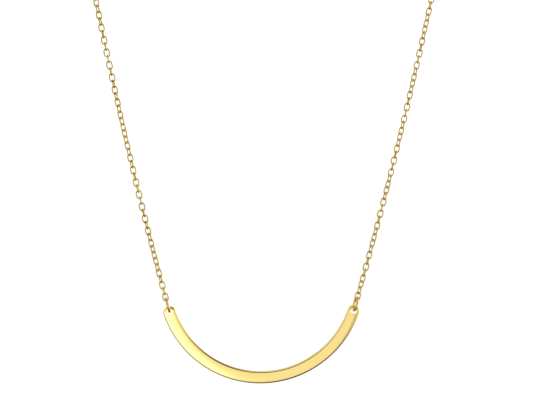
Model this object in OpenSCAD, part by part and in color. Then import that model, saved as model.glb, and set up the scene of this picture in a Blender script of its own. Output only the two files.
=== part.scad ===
// A necklace whose front is a flat bar bent to an arc, carried at both ends by a fine cable
// chain. Millimetres. +X runs to the viewer's right, +Z up, and the bar's face looks along -Y.
// The origin is at the nape, in the middle of the clasp, where the loop hangs.

/* [Curved bar] */
// Radius of the bar's middle line
bar_radius = 25.3; // [24:0.1:27]
// Angle from the bottom of the arc to each hole
bar_half_angle = 71; // [64:0.5:74]
// Width of the flat face
bar_width = 3.2; // [3:0.1:3.6]
// Thickness of the strip
bar_thickness = 0.8; // [0.6:0.05:0.9]
// Diameter of the hole near each end
hole_d = 1.5; // [1.4:0.05:1.6]
// Chamfer that breaks the bar's edges
edge_break = 0.2; // [0.05:0.01:0.25]

/* [Jump rings] */
// Outer diameter of a ring
ring_d = 4.1; // [4:0.1:4.6]
// Diameter of a ring's wire
ring_wire = 0.65; // [0.5:0.05:0.7]

/* [Chain] */
// Number of links in each strand
link_count = 119; // [115:1:123]
// Distance from one link to the next
link_pitch = 1.59; // [1.57:0.01:1.64]
// Outer width of a link
link_width = 1.6; // [1.55:0.05:1.8]
// Diameter of a link's wire
link_wire = 0.34; // [0.28:0.01:0.36]
// Free space left between two pieces that hold each other
play = 0.12; // [0.1:0.01:0.15]

/* [Hang] */
// Horizontal pull of a strand over its weight for each millimetre, as a length
sag = 64; // [50:1:90]
// Steepness of a strand where it leaves its ring, rise over run
steepness = 3.6; // [3:0.1:4.5]
// Length of strand that hangs in front before it turns back round the neck
front_run = 82; // [76:1:88]
// Height of the nape above that turn
nape_rise = 34; // [30:1:38]
// Pull of the nape's straight stretch on the curve, measured from the middle
nape_reach = 48; // [42:1:54]

/* [Clasp] */
// Outer diameter of the spring ring
clasp_d = 6; // [5:0.1:7]
// Diameter of the spring ring's tube
clasp_tube = 1.2; // [1:0.05:1.4]
// Outer diameter of the eye soldered to the spring ring
eye_d = 2.5; // [2.4:0.1:3]

/* [Hidden] */

gold = [0.93, 0.78, 0.42];
wire_facets = 24;
curve_facets = 96;
curve_steps = 160;
bisections = 30;

// How far each strand has turned about its own line, from the bar up its front.
// Columns: links counted from the ring, turn in degrees.
turn_left = [[0, 0], [6.5, 45], [16, 90], [27.5, 135], [39, 180], [49, 215]];
turn_right = [[0, 0], [6, 90], [16, 180], [24, 270], [33, 360], [42, 450], [49, 510]];

// The way that the last link faces at the clasp: the spring ring stands upright, so its eye
// takes a link that lies flat, and the end ring, which lies flat, takes an upright one.
face_up = [0, 0, 1];
face_back = [0, 1, 0];

// Jump ring: it hangs through the bar's hole, and the first link hangs in its top.
ring_mid = (ring_d - ring_wire) / 2;
ring_room = ring_mid - ring_wire / 2 - play;
hole_to_ring = hole_d / 2 + sqrt(pow(ring_room, 2) - pow(bar_thickness / 2, 2));
hole_to_pivot = hole_to_ring + ring_room - link_wire / 2;
lean = atan(1 / steepness);

// Link: two half rings joined by straight sides, measured along the middle of its wire.
link_half = (link_pitch + play + link_wire) / 2;
link_bend = (link_width - link_wire) / 2;
link_straight = 2 * (link_half - link_bend);

// Clasp: everything between the last wires of the two strands, measured from its middle.
eye_wire = ring_wire;
clasp_mid = (clasp_d - clasp_tube) / 2;
eye_mid = (eye_d - eye_wire) / 2;
eye_centre = clasp_d / 2 + eye_mid - eye_wire / 5;
left_wire = eye_centre + eye_mid - eye_wire / 2 - play - link_wire / 2;
end_ring_centre = clasp_mid - clasp_tube / 2 - play - ring_wire / 2 + ring_mid;
right_wire = end_ring_centre + ring_room - link_wire / 2;
clasp_shift = (left_wire - right_wire) / 2;
clasp_half = (left_wire + right_wire) / 2;
nub_d = 0.6;
nub_height = 0.8;

// The front of a strand is a catenary, from the wire of its first link.
function rise_over_run(s) = steepness + s / sag;
function arsinh(v) = ln(v + sqrt(1 + v * v));
function hang(s) =
    let (v = rise_over_run(s))
    [sag * (arsinh(v) - arsinh(steepness)), 0,
     sag * (sqrt(1 + v * v) - sqrt(1 + steepness * steepness))];

hole_place = bar_radius * [sin(bar_half_angle), 0, -cos(bar_half_angle)];
pivot_x = hole_place.x + hole_to_pivot * sin(lean);
pivot_z = -nape_rise - hang(front_run).z;

// The rest of it is one smooth curve from the turn, straight at first, round to the nape.
function turn_point(depth) = [pivot_x + hang(front_run).x, -depth, -nape_rise];
function control(depth) =
    let (start = turn_point(depth),
         along = nape_rise / 2 * [1 / rise_over_run(front_run), 0, 1])
    [start, start + along, start + 2 * along, [nape_reach, 0, 0], [clasp_half, 0, 0]];
function blend(p, t) = len(p) == 1 ? p[0]
    : blend([for (i = [1 : len(p) - 1]) (1 - t) * p[i - 1] + t * p[i]], t);
function back_points(depth) =
    let (p = control(depth)) [for (i = [0 : curve_steps]) blend(p, i / curve_steps)];
function step_to(p, i) = i < len(p) ? norm(p[i] - p[i - 1]) : 0;
function run_along(p) =
    [for (i = 0, run = 0; i < len(p); i = i + 1, run = run + step_to(p, i)) run];

// The loop is as deep, front to back, as the length of the chain lets it be.
back_run = (link_count - 1) * link_pitch + 2 * link_half - front_run;
function fit_depth(low, high, left) =
    let (middle = (low + high) / 2)
    left == 0 ? middle
    : run_along(back_points(middle))[curve_steps] < back_run ? fit_depth(middle, high, left - 1)
    : fit_depth(low, middle, left - 1);
loop_depth = fit_depth(30, 120, bisections);
back_control = control(loop_depth);
back_runs = run_along(back_points(loop_depth));
back_table = [for (i = [0 : curve_steps]) [back_runs[i], i / curve_steps]];

function place(s) = s < front_run ? [pivot_x, -loop_depth, pivot_z] + hang(s)
    : blend(back_control, lookup(s - front_run, back_table));
function unit(v) = v / norm(v);
function direction(s) = unit(place(s + link_bend) - place(s - link_bend));

// Each link's face starts from the one before, carried along without turning.
link_runs = [for (i = [0 : link_count - 1]) link_half + i * link_pitch];
link_lines = [for (s = link_runs) direction(s)];
function across(line, v) = unit(v - (line * v) * line);
link_faces = [for (i = 0, face = face_back; i < link_count;
    i = i + 1, face = i < link_count ? across(link_lines[i], face) : face) face];

// The stretch behind the neck turns on until its last link faces as the clasp needs it.
function half_turns(angle) = angle - 180 * floor(angle / 180);
function closing_turn(turns, last_face) =
    let (last = link_count - 1,
         line = link_lines[last],
         face = link_faces[last],
         seen = turns[len(turns) - 1][1],
         needed = atan2(cross(face, last_face) * line, face * last_face) - 90 * last)
    seen + half_turns(needed - seen);
function turns_to_clasp(turns, last_face) =
    concat(turns, [[link_count - 1, closing_turn(turns, last_face)]]);

// A closed ring of round wire, standing upright and facing along Y.
module wire_ring(radius, wire) {
    rotate([90, 0, 0])
        rotate_extrude($fn = curve_facets)
            translate([radius, 0])
                circle(d = wire, $fn = wire_facets);
}

// One link, long along Y, its face along Z.
module link() {
    for (end = [0, 180])
        rotate([0, 0, end])
            translate([0, link_straight / 2, 0]) {
                rotate_extrude(angle = 180, $fn = curve_facets)
                    translate([link_bend, 0])
                        circle(d = link_wire, $fn = wire_facets);
                translate([link_bend, 0, 0])
                    rotate([90, 0, 0])
                        cylinder(d = link_wire, h = link_straight, $fn = wire_facets);
            }
}

// A link set on its place, its length along the line and its face as the turn leaves it.
module set_link(at, line, face, turn) {
    turned = cos(turn) * face + sin(turn) * cross(line, face);
    wide = cross(line, turned);
    multmatrix([[wide.x, line.x, turned.x, at.x],
                [wide.y, line.y, turned.y, at.y],
                [wide.z, line.z, turned.z, at.z],
                [0, 0, 0, 1]])
        link();
}

module strand(turns, last_face) {
    all_turns = turns_to_clasp(turns, last_face);
    for (i = [0 : link_count - 1])
        set_link(place(link_runs[i]), link_lines[i], link_faces[i], lookup(i, all_turns) + 90 * i);
}

module bar_section() {
    half = bar_thickness / 2;
    polygon([[0, -half], [bar_width / 2 - edge_break, -half], [bar_width / 2, edge_break - half],
             [bar_width / 2, half - edge_break], [bar_width / 2 - edge_break, half], [0, half]]);
}

module curved_bar() {
    color(gold)
        translate([0, -loop_depth, pivot_z - hole_to_pivot * cos(lean) - hole_place.z])
            rotate([90, 0, 0])
                difference() {
                    union() {
                        rotate([0, 0, -90 - bar_half_angle])
                            rotate_extrude(angle = 2 * bar_half_angle, $fn = 2 * curve_facets)
                                translate([bar_radius, 0]) {
                                    bar_section();
                                    mirror([1, 0]) bar_section();
                                }
                        for (side = [-1, 1])
                            translate([side * hole_place.x, hole_place.z])
                                rotate_extrude($fn = curve_facets)
                                    bar_section();
                    }
                    for (side = [-1, 1])
                        translate([side * hole_place.x, hole_place.z, -bar_thickness])
                            cylinder(d = hole_d, h = 2 * bar_thickness, $fn = curve_facets);
                }
}

// A jump ring in line with its strand's pull, across the bar.
module jump_ring() {
    below = hole_to_pivot - hole_to_ring;
    color(gold)
        translate([pivot_x - below * sin(lean), -loop_depth, pivot_z - below * cos(lean)])
            rotate([0, lean, 0])
                rotate([0, 0, 90])
                    wire_ring(ring_mid, ring_wire);
}

module jump_ring_right() { jump_ring(); }
module jump_ring_left() { mirror([1, 0, 0]) jump_ring(); }

module chain_right() { color(gold) strand(turn_right, face_back); }
module chain_left() { color(gold) mirror([1, 0, 0]) strand(turn_left, face_up); }

module clasp() {
    color(gold)
        translate([clasp_shift, 0, 0]) {
            wire_ring(clasp_mid, clasp_tube);
            translate([-eye_centre, 0, 0]) wire_ring(eye_mid, eye_wire);
            translate([0, 0, clasp_mid])
                cylinder(d = nub_d, h = clasp_tube / 2 + nub_height, $fn = wire_facets);
        }
}

module end_ring() {
    color(gold)
        translate([clasp_shift + end_ring_centre, 0, 0])
            rotate([90, 0, 0])
                wire_ring(ring_mid, ring_wire);
}

curved_bar();
jump_ring_left();
jump_ring_right();
chain_left();
chain_right();
clasp();
end_ring();
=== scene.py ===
from math import acos, cos, hypot, pi, radians, sin

import bmesh
import bpy
import numpy as np
from mathutils import Matrix, Vector


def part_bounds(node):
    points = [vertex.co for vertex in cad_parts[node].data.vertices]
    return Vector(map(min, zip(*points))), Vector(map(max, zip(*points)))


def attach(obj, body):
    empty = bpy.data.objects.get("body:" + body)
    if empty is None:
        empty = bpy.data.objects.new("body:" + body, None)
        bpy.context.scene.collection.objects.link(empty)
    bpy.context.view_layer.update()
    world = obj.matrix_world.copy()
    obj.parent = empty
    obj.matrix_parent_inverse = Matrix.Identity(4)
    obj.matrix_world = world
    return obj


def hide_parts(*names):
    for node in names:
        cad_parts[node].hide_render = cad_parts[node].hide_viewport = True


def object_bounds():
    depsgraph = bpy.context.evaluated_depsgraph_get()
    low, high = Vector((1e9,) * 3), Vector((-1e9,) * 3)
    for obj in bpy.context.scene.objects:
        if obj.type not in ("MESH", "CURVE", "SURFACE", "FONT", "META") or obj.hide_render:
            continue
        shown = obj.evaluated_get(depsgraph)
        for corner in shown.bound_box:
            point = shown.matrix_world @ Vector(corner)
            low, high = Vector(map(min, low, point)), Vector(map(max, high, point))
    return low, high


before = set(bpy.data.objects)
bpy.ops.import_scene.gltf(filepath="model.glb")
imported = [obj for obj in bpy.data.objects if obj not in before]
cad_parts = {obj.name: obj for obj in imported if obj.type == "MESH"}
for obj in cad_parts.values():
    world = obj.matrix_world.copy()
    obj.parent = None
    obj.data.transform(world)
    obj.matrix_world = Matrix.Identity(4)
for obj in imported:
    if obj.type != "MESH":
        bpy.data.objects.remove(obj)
part_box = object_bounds()
MM = 0.001


# Studio: the necklace hangs before a white sweep. A softbox and a weaker panel stand beside the
# camera and a large panel behind the necklace. The metal mirrors soft cards in a dark room.

class Finish:
    """A socket in a node tree. Sums with it add their own Math nodes."""

    def __init__(self, tree, socket=None):
        self.tree = tree
        self.socket = socket

    def node(self, kind, settings=None, inputs=None, out=0):
        """Adds a node: its settings first, then the values or links of its sockets."""
        made = self.tree.nodes.new(kind)
        for name, value in (settings or {}).items():
            setattr(made, name, value)
        for name, value in (inputs or {}).items():
            if isinstance(value, Finish):
                self.tree.links.new(value.socket, made.inputs[name])
            else:
                made.inputs[name].default_value = value
        return Finish(self.tree, made.outputs[out] if len(made.outputs) else None)

    def math(self, operation, *values):
        """A Math node, which takes all its values from the brackets and none from before the dot."""
        return self.node("ShaderNodeMath", {"operation": operation}, dict(enumerate(values)))

    def __add__(self, other):
        return self.math("ADD", self, other)

    __radd__ = __add__

    def __sub__(self, other):
        return self.math("SUBTRACT", self, other)

    def __rsub__(self, other):
        return self.math("SUBTRACT", other, self)

    def __mul__(self, other):
        return self.math("MULTIPLY", self, other)

    __rmul__ = __mul__

    def fade(self, start, end):
        """0 up to start, 1 from end, and smooth in between."""
        return self.node("ShaderNodeMapRange", {"interpolation_type": "SMOOTHSTEP"},
                         {"Value": self, "From Min": start, "From Max": end})


bar_low, bar_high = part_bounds("curved_bar")
bar_plane = (bar_low.y + bar_high.y) / 2
view_middle = Vector((0.77 * MM, bar_plane, -90.39 * MM))
view_width = 137.2 * MM
camera_distance = 300 * MM
camera_yaw = radians(-7.37)
camera_pitch = radians(-2.75)
camera_roll = radians(0.6)

camera_data = bpy.data.cameras.new("camera")
camera_data.lens = camera_data.sensor_width * camera_distance / view_width
camera = bpy.data.objects.new("camera", camera_data)
camera_turn = (Matrix.Rotation(camera_yaw, 3, "Z") @ Matrix.Rotation(pi / 2 + camera_pitch, 3, "X")
               @ Matrix.Rotation(camera_roll, 3, "Z"))
camera.location = view_middle + camera_distance * camera_turn.col[2]
camera.rotation_euler = camera_turn.to_euler()
bpy.context.scene.collection.objects.link(camera)
bpy.context.scene.camera = camera
bpy.context.scene.view_settings.view_transform = "Standard"


def light_panel(name, middle, size, turn, glow):
    """A soft white panel that the camera doesn't see. Glow is how bright it looks, 1 for white."""
    panel = bpy.data.lights.new(name, "AREA")
    panel.shape = "RECTANGLE"
    panel.size, panel.size_y = size
    panel.energy = glow * pi * size[0] * size[1]
    placed = bpy.data.objects.new(name, panel)
    placed.location = middle
    placed.rotation_euler = turn
    placed.visible_camera = False
    bpy.context.scene.collection.objects.link(placed)


# On the bar, the mirror image of the softbox ends at softbox_ends and that of the front panel
# starts. The camera's view of that place, mirrored, meets the panels' plane at panels_meet.
softbox_ends = -12.5 * MM
softbox_size = (0.5, 0.17)
front_size = (0.15, 0.2)
panels_away = 0.7
panels_plane = bar_plane - panels_away
mirrored_run = panels_away / (bar_plane - camera.location.y)
panels_meet = softbox_ends + (softbox_ends - camera.location.x) * mirrored_run
light_panel("softbox_left", middle=(panels_meet - softbox_size[0] / 2, panels_plane, -0.27),
            size=softbox_size, turn=(pi / 2, 0, 0), glow=0.82)
light_panel("panel_front", middle=(panels_meet + front_size[0] / 2, panels_plane, -0.25),
            size=front_size, turn=(pi / 2, 0, 0), glow=0.43)
light_panel("panel_back", middle=(-0.4, 0.9, 0.3), size=(0.9, 0.9), turn=(-pi / 2, 0, -0.4),
            glow=0.6)

sweep_light = bpy.data.worlds.new("sweep_light")
sweep_light.use_nodes = True
sweep_light.node_tree.nodes.clear()
sky = Finish(sweep_light.node_tree)
outward = sky.node("ShaderNodeTexCoord", out="Generated")


def card(right, up, reach, glow):
    """A soft round card that only the metal sees. Right and up are degrees from straight before
    the bar, and so is reach, where the card has faded by half."""
    middle = (sin(radians(right)) * cos(radians(up)), -cos(radians(right)) * cos(radians(up)),
              sin(radians(up)))
    near = sky.node("ShaderNodeVectorMath", {"operation": "DOT_PRODUCT"},
                    {0: outward, 1: middle}, out="Value")
    return glow * near.fade(cos(radians(1.5 * reach)), cos(radians(0.5 * reach)))


# The room is dark before the bar and bright behind it. The dark that is left to the lower right
# draws the brown line on the bar's outer edge.
toward_back = sky.node("ShaderNodeSeparateXYZ", inputs={"Vector": outward}, out="Y")
metal_sees = 0.03 + 0.58 * toward_back.fade(0.02, 0.46)

# The bar's flat face mirrors the first card for the camera, and its round edges the next six.
metal_sees += card(right=7, up=-8, reach=12, glow=0.52)
metal_sees += card(right=-19, up=-17, reach=18, glow=1.2)
metal_sees += card(right=-49, up=-17, reach=24, glow=0.5)
metal_sees += card(right=88, up=3, reach=28, glow=1.6)
metal_sees += card(right=2, up=64, reach=21, glow=1.1)
metal_sees += card(right=-40, up=25, reach=23, glow=0.9)
metal_sees += card(right=-6, up=-44, reach=15, glow=0.48)

# These keep the bar golden when it is seen from the side, from above, or swung to its limits.
metal_sees += card(right=60, up=-18, reach=13, glow=0.4)
metal_sees += card(right=31, up=-32, reach=6, glow=0.33)
metal_sees += card(right=40, up=-5, reach=20, glow=0.42)
metal_sees += card(right=-92, up=8, reach=26, glow=0.4)
metal_sees += card(right=70, up=45, reach=16, glow=0.5)
metal_sees += card(right=-72, up=46, reach=16, glow=0.45)
metal_sees += card(right=14, up=-26, reach=5, glow=0.25)

sweep_white = 1.15
in_metal = sky.node("ShaderNodeLightPath", out="Is Glossy Ray")
sweep_glow = sweep_white + in_metal * (metal_sees - sweep_white)
sweep = sky.node("ShaderNodeBackground", inputs={"Color": (1, 1, 1, 1), "Strength": sweep_glow})
sky.node("ShaderNodeOutputWorld", inputs={"Surface": sweep})
bpy.context.scene.world = sweep_light

bpy.ops.object.select_all(action="DESELECT")
bpy.ops.mesh.primitive_plane_add(size=24, location=(0, 0, part_box[0].z - 220 * MM))
floor = bpy.context.object
floor.name = "floor"
floor.visible_glossy = False
paint = bpy.data.materials.new("floor_paint")
paint.use_nodes = True
paint.node_tree.nodes["Principled BSDF"].inputs["Base Color"].default_value = (0.92, 0.92, 0.92, 1)
paint.node_tree.nodes["Principled BSDF"].inputs["Roughness"].default_value = 0.9
floor.data.materials.append(paint)


# Curved bar: a strip sawn from brass sheet and bent edgewise to an arc, with rounded ends and
# a hole drilled near each. Its edges are broken on a wheel, then it is polished and plated.

def take(piece):
    """Selects one piece alone."""
    bpy.ops.object.select_all(action="DESELECT")
    piece.select_set(True)
    bpy.context.view_layer.objects.active = piece


def settle(piece):
    """Puts a piece's place into its mesh, so that its object sits untouched at the origin."""
    take(piece)
    bpy.ops.object.transform_apply(location=True, rotation=True, scale=True)


def finish_with(piece, kind, **settings):
    """Gives a piece one modifier and applies it."""
    bpy.context.view_layer.objects.active = piece
    added = piece.modifiers.new(kind.lower(), kind)
    for name, value in settings.items():
        setattr(added, name, value)
    bpy.ops.object.modifier_apply(modifier=added.name)


def join_on(piece, other, operation="UNION"):
    """Solders another shape to a piece, or cuts it out of the piece."""
    finish_with(piece, "BOOLEAN", object=other, operation=operation, solver="EXACT")
    bpy.data.objects.remove(other)


def pick(piece, kind, wanted):
    """In edit mode, selects just the verts, edges or faces for which wanted() is true."""
    bpy.ops.mesh.select_all(action="DESELECT")
    bpy.ops.mesh.select_mode(type=kind)
    shape = bmesh.from_edit_mesh(piece.data)
    for item in {"VERT": shape.verts, "EDGE": shape.edges, "FACE": shape.faces}[kind]:
        item.select = wanted(item)
    shape.select_flush_mode()
    bmesh.update_edit_mesh(piece.data)


def merge(reach):
    """In edit mode, makes one of the points that lie closer together than reach."""
    bpy.ops.mesh.select_all(action="SELECT")
    bpy.ops.mesh.remove_doubles(threshold=reach)


def turn_outwards():
    """In edit mode, makes all the faces point outwards."""
    bpy.ops.mesh.select_all(action="SELECT")
    bpy.ops.mesh.normals_make_consistent(inside=False)


# Points that meet are same_place apart at most, and a cut leaves edges as short as sliver. A
# point is found by its place to within close_by.
same_place = 0.001 * MM
sliver = 0.003 * MM
close_by = 0.01 * MM
sharp_corner = radians(60)
smooth_corner = radians(40)

bar_width = 3.2 * MM
bar_thickness = bar_high.y - bar_low.y
hole_radius = 0.75 * MM
round_width = 0.48 * MM
round_depth = 0.37 * MM
round_steps = 8
hole_round = 0.06 * MM

# The arc's radius follows from how far the hole stands out and up from the bar's lowest point.
hole = Vector((bar_high.x - bar_width / 2, bar_plane, bar_high.z - bar_width / 2))
bar_bottom = Vector((0, bar_plane, bar_low.z + bar_width / 2))
hole_rise = hole.z - bar_bottom.z
bar_radius = (hole_rise ** 2 + hole.x ** 2) / (2 * hole_rise)
arc_middle = bar_bottom + Vector((0, 0, bar_radius))
hole_angle = acos((arc_middle.z - hole.z) / bar_radius)

# Half the outline: a line across the bar at its lowest point is swept to the hole, and the
# outer half of that line is then swept round the hole.
bpy.ops.object.select_all(action="DESELECT")
bpy.ops.mesh.primitive_grid_add(x_subdivisions=1, y_subdivisions=2, size=bar_width,
                                location=bar_bottom - Vector((bar_width / 2, 0, 0)),
                                rotation=(pi / 2, 0, 0))
curved_bar = bpy.context.object
curved_bar.name = "curved_bar_polished"
settle(curved_bar)
bpy.ops.object.mode_set(mode="EDIT")
pick(curved_bar, "VERT", lambda point: point.co.x < -bar_width / 2)
bpy.ops.mesh.delete(type="VERT")
bpy.ops.mesh.select_all(action="SELECT")
bpy.ops.mesh.spin(steps=60, angle=hole_angle, center=arc_middle, axis=(0, 1, 0))


def past_hole(edge):
    """True for the half line from the hole's middle to the outer side of the arc."""
    ends = [point.co for point in edge.verts]
    return (min((end - hole).length for end in ends) < close_by
            and max((end - arc_middle).length for end in ends) > bar_radius + 0.4 * bar_width)


pick(curved_bar, "EDGE", past_hole)
bpy.ops.mesh.spin(steps=24, angle=pi, center=hole, axis=(0, 1, 0))
merge(same_place)
turn_outwards()
bpy.ops.object.mode_set(mode="OBJECT")
finish_with(curved_bar, "MIRROR", merge_threshold=same_place)
finish_with(curved_bar, "SOLIDIFY", thickness=bar_thickness - 2 * round_depth, offset=0)

# Both faces are raised in narrowing steps, which rounds the edges to a quarter of an ellipse.
bpy.ops.object.mode_set(mode="EDIT")
turn_outwards()
for facing in (-1, 1):
    pick(curved_bar, "FACE", lambda face: face.normal.y * facing > 0.9)
    for step in range(round_steps):
        here, there = (pi / 2 * (step + end) / round_steps for end in (0, 1))
        bpy.ops.mesh.inset(thickness=round_width * (cos(here) - cos(there)),
                           depth=round_depth * (sin(there) - sin(here)))
bpy.ops.object.mode_set(mode="OBJECT")

for side in (-1, 1):
    bpy.ops.object.select_all(action="DESELECT")
    bpy.ops.mesh.primitive_cylinder_add(vertices=96, radius=hole_radius, depth=2 * bar_thickness,
                                        location=(side * hole.x, bar_plane, hole.z),
                                        rotation=(pi / 2, 0, 0))
    drill = bpy.context.object
    settle(drill)
    join_on(curved_bar, drill, "DIFFERENCE")


def on_rim(edge):
    """True for the sharp edges round the holes."""
    ends = [point.co for point in edge.verts]
    near = all(hypot(abs(end.x) - hole.x, end.z - hole.z) < 1.02 * hole_radius for end in ends)
    return near and len(edge.link_faces) == 2 and edge.calc_face_angle() > sharp_corner


def round_flat(edge):
    """True where a flat face meets the broken edge of a hole."""
    facing = sorted(abs(face.normal.y) for face in edge.link_faces)
    return facing[-1] > 0.9999 and facing[0] < 0.99


take(curved_bar)
bpy.ops.object.mode_set(mode="EDIT")
merge(sliver)
pick(curved_bar, "EDGE", on_rim)
bpy.ops.mesh.bevel(offset=hole_round, segments=3, clamp_overlap=False)
merge(sliver)
bpy.ops.object.mode_set(mode="OBJECT")
bpy.ops.object.shade_smooth_by_angle(angle=smooth_corner)
bpy.ops.object.mode_set(mode="EDIT")
pick(curved_bar, "EDGE", round_flat)
bpy.ops.mesh.mark_sharp()
bpy.ops.object.mode_set(mode="OBJECT")


def mixed(work, share, first, second):
    """The first colour where share is 0 and the second where it is 1."""
    first, second = (end if isinstance(end, Finish) else (*end, 1) for end in (first, second))
    return work.node("ShaderNodeMix", {"data_type": "RGBA"},
                     {"Factor": share, 6: first, 7: second}, out=2)


def noise(work, place, scale, detail=2):
    """Soft random patches, about 0 to 1, with 1 / scale of a unit from one to the next."""
    return work.node("ShaderNodeTexNoise", inputs={"Vector": place, "Scale": scale, "Detail": detail})


def plating(name):
    """A new metal to build on: its material, its tree, its shader and the place on the piece."""
    made = bpy.data.materials.new(name)
    made.use_nodes = True
    shader = made.node_tree.nodes["Principled BSDF"]
    shader.inputs["Metallic"].default_value = 1
    work = Finish(made.node_tree)
    return made, work, shader, work.node("ShaderNodeTexCoord", out="Object")


def wear(work, shader, colour, roughness, relief, depth):
    """Links a finish's colour, roughness and relief to its shader."""
    bump = work.node("ShaderNodeBump", inputs={"Height": relief, "Distance": depth})
    for socket, what in (("Base Color", colour), ("Roughness", roughness), ("Normal", bump)):
        work.tree.links.new(what.socket, shader.inputs[socket])


# Mirror finish: the plating is a little warmer in wide patches, the buffing has left hairlines
# along the arc, and handling has left faint dull smudges.
bar_gold = (0.99, 0.775, 0.29)
bar_gold_warm = (0.985, 0.75, 0.265)
hairline_depth = 0.0002 * MM
bar_metal, work, shader, on_piece = plating("polished_gold")
from_middle = work.node("ShaderNodeVectorMath", {"operation": "SUBTRACT"},
                        {0: on_piece, 1: arc_middle})
across = work.node("ShaderNodeSeparateXYZ", inputs={"Vector": from_middle}, out="X")
above = work.node("ShaderNodeSeparateXYZ", inputs={"Vector": from_middle}, out="Z")
away = work.node("ShaderNodeVectorMath", {"operation": "LENGTH"}, {0: from_middle}, out="Value")
round_arc = work.math("ARCTAN2", across, above)
along_arc = work.node("ShaderNodeCombineXYZ", inputs={"X": away * 9000, "Y": round_arc * 12})
hairlines = noise(work, along_arc, 1).fade(0.5, 0.74)
smudges = noise(work, on_piece, 210, 4).fade(0.52, 0.72)
warmth = noise(work, on_piece, 70).fade(0.35, 0.65)
wear(work, shader, mixed(work, warmth, bar_gold, bar_gold_warm),
     0.075 + 0.035 * smudges + 0.02 * hairlines, hairlines + 0.3 * smudges, hairline_depth)
curved_bar.data.materials.clear()
curved_bar.data.materials.append(bar_metal)
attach(curved_bar, "hanging_bar")
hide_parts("curved_bar")


# Jump rings: round gold wire bent to a closed ring, one through each hole of the bar. The
# first link of a strand hangs in each.

def lie_of(points):
    """A small piece's middle, its axes from its longest way to its shortest, and its size."""
    axes = np.linalg.eigh(np.cov(points.T))[1][:, ::-1]
    if np.linalg.det(axes) < 0:
        axes[:, 2] *= -1
    along = points @ axes
    low, high = along.min(0), along.max(0)
    return axes @ ((low + high) / 2), axes, high - low


def points_of(node):
    """A CAD node's vertices."""
    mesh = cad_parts[node].data
    points = np.empty(len(mesh.vertices) * 3)
    mesh.vertices.foreach_get("co", points)
    return points.reshape(-1, 3)


def stand_on(middle, axes):
    """The placing that turns X, Y and Z to three axes and moves the origin to a middle."""
    turn = Matrix([list(row) for row in axes])
    return Matrix.Translation(Vector(middle)) @ turn.to_4x4()


# Ring wire: a deeper gold than the bar, with dull spots, draw marks along the wire, and the
# hairline where its two cut ends meet. On the ring's UV map, X is 0.5 at that joint.
ring_gold = (0.89, 0.63, 0.16)
ring_gold_deep = (0.84, 0.56, 0.11)
joint_brown = (0.3, 0.17, 0.04)
joint_half = 0.0025
ring_relief = 0.003 * MM
ring_metal, work, shader, on_piece = plating("ring_gold")
spots = noise(work, on_piece, 900, 4).fade(0.45, 0.7)
ring_map = work.node("ShaderNodeUVMap")
round_ring = work.node("ShaderNodeSeparateXYZ", inputs={"Vector": ring_map}, out="X")
round_wire = work.node("ShaderNodeSeparateXYZ", inputs={"Vector": ring_map}, out="Y")
drawn_along = work.node("ShaderNodeCombineXYZ", inputs={"X": round_ring * 6, "Y": round_wire * 60})
draw_marks = noise(work, drawn_along, 1)
joint = work.math("COMPARE", round_ring, 0.5, joint_half)
wear(work, shader, mixed(work, joint, mixed(work, spots, ring_gold, ring_gold_deep), joint_brown),
     0.27 + 0.1 * spots + 0.06 * draw_marks + 0.3 * joint, spots + draw_marks - 3 * joint,
     ring_relief)

# The joint lies between the ring's top and its back, this share of the way.
joint_turn = 0.6


def wire_ring(name, node, body):
    """A ring of round wire that takes the place of a CAD ring."""
    middle, axes, size = lie_of(points_of(node))
    facing = Vector(axes[:, 2] if axes[:, 2].sum() > 0 else -axes[:, 2])
    to_joint = facing.cross((0, 1, 0)).lerp((0, 1, 0), joint_turn).normalized()
    axes = np.array([to_joint, facing.cross(to_joint), facing]).T
    wire = size[2] / 2
    bpy.ops.object.select_all(action="DESELECT")
    bpy.ops.mesh.primitive_torus_add(major_segments=96, minor_segments=24,
                                     major_radius=size[0] / 2 - wire, minor_radius=wire)
    ring = bpy.context.object
    ring.name = name
    ring.matrix_world = stand_on(middle, axes)
    settle(ring)
    bpy.ops.object.shade_smooth()
    ring.data.materials.append(ring_metal)
    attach(ring, body)
    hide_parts(node)


wire_ring("jump_ring_left_wire", "jump_ring_left", "hanging_bar")
wire_ring("jump_ring_right_wire", "jump_ring_right", "hanging_bar")


# Chain: cable links of drawn gold wire, bent to straight-sided ovals and soldered shut, each
# turned a quarter from the last. A strand runs from each jump ring round to the nape.

link_wire = 0.17 * MM
link_bend = 0.63 * MM
link_straight = 0.79 * MM
wire_sides = 6
bend_steps = 6

# One link, as a coarse cage. The smoothing later draws its corners in by these shares.
bend_round = (4 + 2 * cos(pi / bend_steps)) / 6
wire_round = (4 + 2 * cos(2 * pi / wire_sides)) / 6
bpy.ops.object.select_all(action="DESELECT")
bpy.ops.mesh.primitive_circle_add(vertices=wire_sides, radius=link_wire / wire_round,
                                  location=(link_bend / bend_round, 0, 0), rotation=(pi / 2, 0, 0))
link = bpy.context.object
settle(link)
bpy.ops.object.mode_set(mode="EDIT")
bpy.ops.mesh.select_all(action="SELECT")
bpy.ops.mesh.extrude_region_move(TRANSFORM_OT_translate={"value": (0, link_straight / 2, 0)})
bpy.ops.mesh.spin(steps=bend_steps, angle=pi, center=(0, link_straight / 2, 0), axis=(0, 0, -1))
bpy.ops.mesh.extrude_region_move(TRANSFORM_OT_translate={"value": (0, -link_straight / 2, 0)})
bpy.ops.object.mode_set(mode="OBJECT")
finish_with(link, "MIRROR", use_axis=(False, True, False), merge_threshold=same_place)
bpy.ops.object.mode_set(mode="EDIT")
merge(same_place)
turn_outwards()
bpy.ops.object.mode_set(mode="OBJECT")

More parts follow.
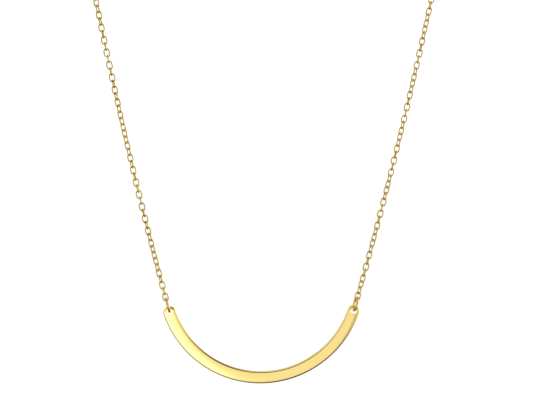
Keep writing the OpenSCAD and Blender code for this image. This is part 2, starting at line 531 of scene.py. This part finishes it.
# Its length is laid along X and its width along Y, as lie_of() gives them. The inside of its
# bends, where the next link rubs and shade falls, is marked from 0 to 1 as painted shade.
link_points = np.array([v.co for v in link.data.vertices])[:, [1, 0, 2]] * (1, -1, 1)
link_faces = np.array([f.vertices[:] for f in link.data.polygons])
bpy.data.objects.remove(link)
past_straight = np.clip(np.abs(link_points[:, 0]) - link_straight / 2, 0, None)
from_bend = np.hypot(past_straight, link_points[:, 1])
crevice_shade = np.clip((link_bend - from_bend) / link_wire, 0, 1) * (past_straight > 0)

# Link wire: tumbled rather than buffed, so it is satin, and its plating varies from link to
# link. Inside the bends, where the links meet, it is painted browner: painted shade.
link_gold = (0.72, 0.53, 0.075)
link_gold_deep = (0.66, 0.455, 0.05)
crevice_shade_brown = (0.42, 0.27, 0.06)
link_relief = 0.004 * MM
link_metal, work, shader, on_piece = plating("link_gold")
from_link_to_link = noise(work, on_piece, 450).fade(0.3, 0.7)
grain = noise(work, on_piece, 6000, 3)
# Painted shade: the colour turns browner inside each link's bends, where the next link sits.
shade_and_wear = work.node("ShaderNodeAttribute", {"attribute_name": "crevice_shade"}, out="Fac")
plain = mixed(work, from_link_to_link, link_gold, link_gold_deep)
wear(work, shader, mixed(work, 0.8 * shade_and_wear, plain, crevice_shade_brown),
     0.22 + 0.1 * grain + 0.15 * shade_and_wear, grain, link_relief)


def loose_parts(node):
    """The points of each link in a CAD strand."""
    shape = bmesh.new()
    shape.from_mesh(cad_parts[node].data)
    bmesh.ops.remove_doubles(shape, verts=shape.verts, dist=same_place / 2)
    seen = set()
    for first in shape.verts:
        if first in seen:
            continue
        seen.add(first)
        part, waiting = [], [first]
        while waiting:
            here = waiting.pop()
            part.append(here.co[:])
            for edge in here.link_edges:
                there = edge.other_vert(here)
                if there not in seen:
                    seen.add(there)
                    waiting.append(there)
        yield np.array(part)
    shape.free()


def strand(name, node):
    """One strand of links, each set where the CAD strand has it."""
    points, faces = [], []
    for number, part in enumerate(loose_parts(node)):
        middle, axes, _ = lie_of(part)
        points.append(link_points @ axes.T + middle)
        faces.append(link_faces + number * len(link_points))
    mesh = bpy.data.meshes.new(name)
    mesh.from_pydata(np.concatenate(points).tolist(), [], np.concatenate(faces).tolist())
    # The painted shade inside the bends is marked on every link's points.
    marked = mesh.attributes.new("crevice_shade", "FLOAT", "POINT")
    marked.data.foreach_set("value", np.tile(crevice_shade, len(points)))
    made = bpy.data.objects.new(name, mesh)
    bpy.context.scene.collection.objects.link(made)
    settle(made)
    finish_with(made, "SUBSURF", levels=1, render_levels=1)
    bpy.ops.object.shade_smooth()
    made.data.materials.append(link_metal)
    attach(made, "chain_loop")
    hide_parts(node)


for side in ("left", "right"):
    strand(f"chain_{side}_links", f"chain_{side}")


# Clasp: a spring ring of gold tube. A thinner bolt closes the gap in the tube, its knob stands
# in a slot on top, and the eye that holds the left strand is soldered to the tube's side.

clasp_low, clasp_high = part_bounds("clasp")
clasp_outer = 3 * MM
tube_wire = 0.6 * MM
tube_radius = clasp_outer - tube_wire
tube_round = 0.05 * MM
bolt_wire = 0.5 * MM
gap_start = radians(30)
gap_end = radians(72)
slot_wire = 0.17 * MM
slot_turn = radians(32)
knob_wire = 0.3 * MM
knob_round = 0.14 * MM
eye_outer = 1.25 * MM
eye_wire = 0.325 * MM
clasp_middle = Vector((clasp_high.x - clasp_outer, (clasp_low.y + clasp_high.y) / 2,
                       clasp_low.z + clasp_outer))
eye_middle = Vector((clasp_low.x + eye_outer, clasp_middle.y, clasp_middle.z))
knob_height = clasp_high.z - clasp_middle.z - tube_radius
knob_middle = clasp_middle + Vector((0, 0, tube_radius + knob_height / 2))


def bent_rod(wire, radius, start, turn, steps):
    """A closed rod of round wire, bent about the clasp's middle from an angle through a turn."""
    bpy.ops.object.select_all(action="DESELECT")
    out = Vector((cos(start), 0, sin(start)))
    bpy.ops.mesh.primitive_circle_add(vertices=32, radius=wire, rotation=(0, -start, 0),
                                      location=clasp_middle + radius * out)
    rod = bpy.context.object
    settle(rod)
    bpy.ops.object.mode_set(mode="EDIT")
    bpy.ops.mesh.select_all(action="SELECT")
    bpy.ops.mesh.spin(steps=steps, angle=turn, center=clasp_middle, axis=(0, 1, 0))
    bpy.ops.mesh.select_all(action="SELECT")
    bpy.ops.mesh.fill_holes(sides=0)
    turn_outwards()
    bpy.ops.object.mode_set(mode="OBJECT")
    return rod


def whole_ring(middle, radius, wire):
    """An upright ring of round wire that faces to the front."""
    bpy.ops.object.select_all(action="DESELECT")
    bpy.ops.mesh.primitive_torus_add(major_segments=96, minor_segments=32, major_radius=radius,
                                     minor_radius=wire, location=middle, rotation=(pi / 2, 0, 0))
    settle(bpy.context.object)
    return bpy.context.object


clasp = bent_rod(tube_wire, tube_radius, gap_end, 2 * pi - gap_end + gap_start, 88)
clasp.name = "clasp_spring_ring"
bpy.ops.object.mode_set(mode="EDIT")
pick(clasp, "EDGE", lambda edge: edge.calc_face_angle() > sharp_corner)
bpy.ops.mesh.bevel(offset=tube_round, segments=3, clamp_overlap=False)
bpy.ops.object.mode_set(mode="OBJECT")
join_on(clasp, bent_rod(slot_wire, clasp_outer, pi / 2, slot_turn, 12), "DIFFERENCE")
join_on(clasp, whole_ring(clasp_middle, tube_radius, bolt_wire))
join_on(clasp, whole_ring(eye_middle, eye_outer - eye_wire, eye_wire))

bpy.ops.object.select_all(action="DESELECT")
bpy.ops.mesh.primitive_cylinder_add(vertices=32, radius=knob_wire, depth=knob_height,
                                    location=knob_middle)
knob = bpy.context.object
settle(knob)
bpy.ops.object.mode_set(mode="EDIT")
pick(knob, "EDGE", lambda edge: all(end.co.z > clasp_high.z - close_by for end in edge.verts))
bpy.ops.mesh.bevel(offset=knob_round, segments=4)
bpy.ops.object.mode_set(mode="OBJECT")
join_on(clasp, knob)
take(clasp)
bpy.ops.object.mode_set(mode="EDIT")
merge(sliver)
bpy.ops.object.mode_set(mode="OBJECT")
bpy.ops.object.shade_smooth_by_angle(angle=smooth_corner)

# Clasp metal: as bright as the bar where it is new, and duller where fingers have rubbed it.
clasp_gold = (0.95, 0.72, 0.26)
clasp_gold_rubbed = (0.92, 0.67, 0.2)
clasp_relief = 0.003 * MM
clasp_metal, work, shader, on_piece = plating("clasp_gold")
shade_and_wear = noise(work, on_piece, 500, 4).fade(0.45, 0.7)
wear(work, shader, mixed(work, shade_and_wear, clasp_gold, clasp_gold_rubbed),
     0.12 + 0.12 * shade_and_wear, shade_and_wear, clasp_relief)
clasp.data.materials.clear()
clasp.data.materials.append(clasp_metal)
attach(clasp, "chain_loop")
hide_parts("clasp")


# End ring: a closed ring like the jump rings. The clasp's tube passes through it, and the right
# strand's last link hangs in it.

wire_ring("end_ring_wire", "end_ring", "chain_loop")
